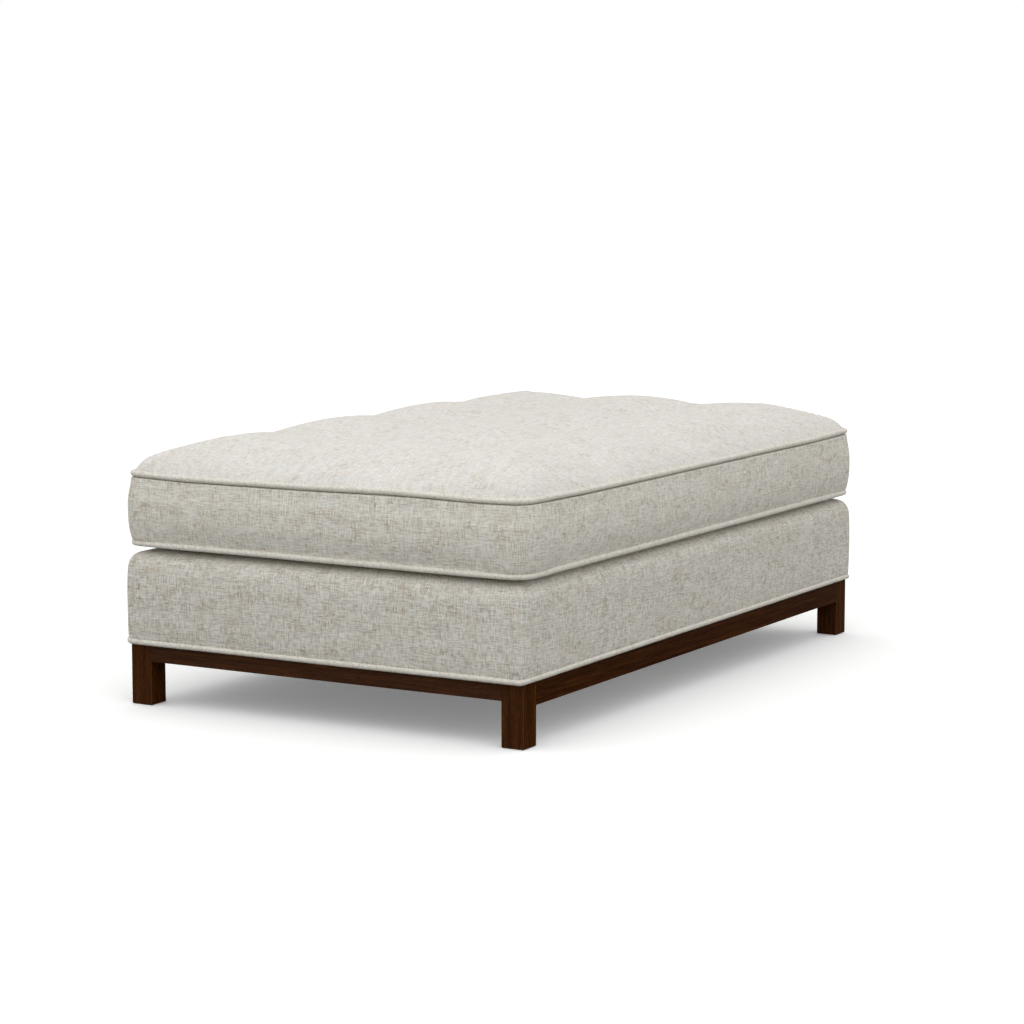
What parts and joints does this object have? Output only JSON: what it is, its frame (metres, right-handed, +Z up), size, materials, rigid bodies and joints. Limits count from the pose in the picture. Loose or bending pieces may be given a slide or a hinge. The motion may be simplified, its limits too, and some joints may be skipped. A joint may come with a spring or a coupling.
{
  "type": "ottoman coffee table",
  "caption": "Rectangular upholstered ottoman coffee table: a loose, blind-tufted box cushion with welted edges on a fabric-covered box over a dark wooden base with square legs.",
  "frame": {"origin": "centre of the footprint, on the floor under the glides", "axes": "+X along the length, to the right seen from the front; +Y from the front to the zipped back; +Z up"},
  "size_m": [1.4054, 0.8694, 0.5006],
  "materials": {
    "dark_wood": "satin",
    "frame_wood": "matte",
    "linen": "matte",
    "lining": "matte",
    "foam": "matte",
    "fibre": "matte",
    "webbing": "matte",
    "cambric": "matte",
    "twine": "matte",
    "zip_tape": "matte",
    "zip_nylon": "satin",
    "zip_metal": "satin",
    "zinc_steel": "satin",
    "glide_plastic": "satin"
  },
  "bodies": {
    "ottoman_base": {"leg_front_left": "dark_wood", "leg_front_right": "dark_wood", "leg_back_left": "dark_wood", "leg_back_right": "dark_wood", "base_rail_front": "dark_wood", "base_rail_back": "dark_wood", "base_rail_left": "dark_wood", "base_rail_right": "dark_wood", "base_stretcher": "frame_wood", "base_corner_blocks": "frame_wood", "leg_glides": "glide_plastic", "box_bolts": "zinc_steel", "tee_nuts": "zinc_steel", "frame_rail_front": "frame_wood", "frame_rail_back": "frame_wood", "frame_rail_left": "frame_wood", "frame_rail_right": "frame_wood", "frame_cross_rail_left": "frame_wood", "frame_cross_rail_right": "frame_wood", "frame_corner_blocks": "frame_wood", "webbing_lengthwise": "webbing", "webbing_crosswise": "webbing", "deck_pad": "foam", "deck_cloth": "lining", "edge_roll_front": "foam", "edge_roll_back": "foam", "edge_roll_left": "foam", "edge_roll_right": "foam", "side_pad_front": "foam", "side_pad_back": "foam", "side_pad_left": "foam", "side_pad_right": "foam", "box_cover": "linen", "box_welt": "linen", "dust_cover": "cambric"},
    "cushion": {"cushion_core": "foam", "cushion_crown": "fibre", "cushion_top_panel": "linen", "boxing_strip": "linen", "zip_boxing_upper": "linen", "zip_boxing_lower": "linen", "cushion_bottom_panel": "linen", "cushion_welt_upper": "linen", "cushion_welt_lower": "linen", "tuft_twines": "twine", "tuft_discs": "glide_plastic", "zip_tape": "zip_tape", "zip_chain": "zip_nylon", "zip_stops": "zip_metal"},
    "zip_slider": {"zip_slider": "zip_metal"},
    "zip_pull": {"zip_pull": "zip_metal"}
  },
  "joints": [
    {"name": "cushion_lift", "type": "slide", "parent": "ottoman_base", "child": "cushion", "axis": [0, 0, 1], "range_m": [0, 0.3]},
    {"name": "zip_slide", "type": "slide", "parent": "cushion", "child": "zip_slider", "axis": [1, 0, 0], "range_m": [-1.06, 0]},
    {"name": "zip_pull_swing", "type": "hinge", "parent": "zip_slider", "child": "zip_pull", "pos_m": [0.53, 0.4326, 0.3665], "axis": [0, 0, 1], "range_deg": [-180, 0]}
  ]
}
